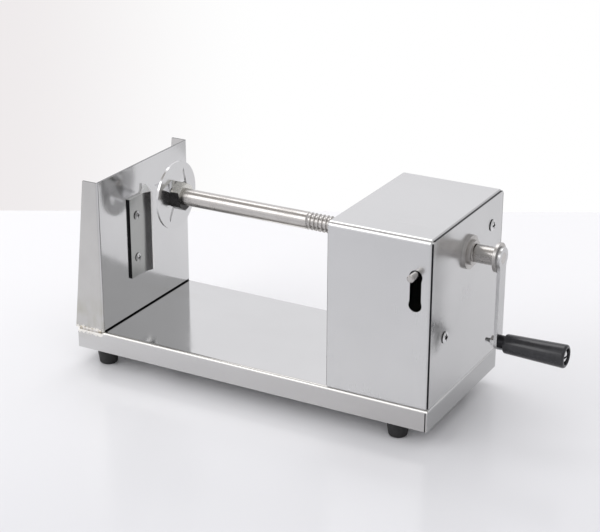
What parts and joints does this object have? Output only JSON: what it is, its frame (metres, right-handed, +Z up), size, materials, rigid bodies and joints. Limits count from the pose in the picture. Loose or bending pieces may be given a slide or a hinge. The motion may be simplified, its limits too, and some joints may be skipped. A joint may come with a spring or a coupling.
{
  "type": "hand cranked spiral potato cutter",
  "caption": "Bench spiral vegetable cutter: steel tray on rubber feet, upright blade plate, pronged pusher disc on a feed shaft, box housing with release lever, crank with black grip.",
  "frame": {"origin": "middle of the overall bounding box, at floor level under the feet", "axes": "+X along the feed shaft from the blade to the crank, +Y from the front wall with the lever slot to the back, +Z up"},
  "size_m": [0.4534, 0.1626, 0.1893],
  "materials": {
    "mirror_steel": "polished stainless sheet, softly mirror-like",
    "satin_steel": "fine satin stainless sheet",
    "weld_metal": "coarsely ground weld",
    "blade_steel": "ground blade steel with a bright bevel",
    "bright_fasteners": "bright plated screws and nuts",
    "black_rubber": "matt moulded rubber",
    "bearing_metal": "turned bearing metal",
    "shaft_steel": "bright turned shaft, slightly warm",
    "spring_steel": "drawn spring wire",
    "dark_metal": "blackened steel",
    "black_plastic": "glossy moulded plastic"
  },
  "bodies": {
    "frame": {"base_tray": "mirror_steel", "foot_screws": "bright_fasteners", "foot_nuts": "bright_fasteners", "foot_front_left": "black_rubber", "foot_front_right": "black_rubber", "foot_rear_left": "black_rubber", "foot_rear_right": "black_rubber", "upright_plate": "mirror_steel", "weld_beads": "weld_metal", "blade": "blade_steel", "blade_screws": "bright_fasteners", "blade_nuts": "bright_fasteners", "housing_cover": "satin_steel", "cover_screws": "bright_fasteners", "cover_nuts": "bright_fasteners", "end_panel": "satin_steel", "bearing_panel": "satin_steel", "front_bush": "bearing_metal", "end_bush": "bearing_metal", "pivot_bolt": "bright_fasteners", "pivot_spacer": "bright_fasteners", "pivot_nut": "bright_fasteners", "spring_bracket": "satin_steel", "bracket_screw": "bright_fasteners", "bracket_nut": "bright_fasteners", "return_spring": "spring_steel"},
    "release_lever": {"lever_arm": "satin_steel", "half_nut": "bearing_metal", "lever_rod": "shaft_steel"},
    "feed_carriage": {"thrust_washer": "bearing_metal"},
    "feed_screw": {"feed_shaft": "shaft_steel", "pusher_disc": "mirror_steel", "pusher_nut": "shaft_steel", "crank_arm": "satin_steel", "grip_collar": "dark_metal", "grip_bolt": "bright_fasteners", "grip_nut": "bright_fasteners"},
    "grip": {"crank_grip": "black_plastic"}
  },
  "joints": [
    {"name": "shaft_feed", "type": "slide", "parent": "frame", "child": "feed_carriage", "axis": [1, 0, 0], "range_m": [-0.008, 0.098]},
    {"name": "crank_spin", "type": "hinge", "parent": "feed_carriage", "child": "feed_screw", "pos_m": [0.16232, 0.00535, 0.155], "axis": [1, 0, 0], "range_deg": [-720, 8820]},
    {"name": "grip_spin", "type": "hinge", "parent": "feed_screw", "child": "grip", "pos_m": [0.19, 0.00535, 0.0775], "axis": [1, 0, 0], "continuous": true},
    {"name": "lever", "type": "hinge", "parent": "frame", "child": "release_lever", "pos_m": [0.11883, 0.05585, 0.1625], "axis": [1, 0, 0], "range_deg": [0, 12.5], "stiffness_Nm_per_rad": 2, "springref_deg": -20.05, "deforming": ["return_spring"]}
  ],
  "couplings": [
    {"joint": "shaft_feed", "follows": "crank_spin", "m_per_rad": 0.00063662}
  ]
}
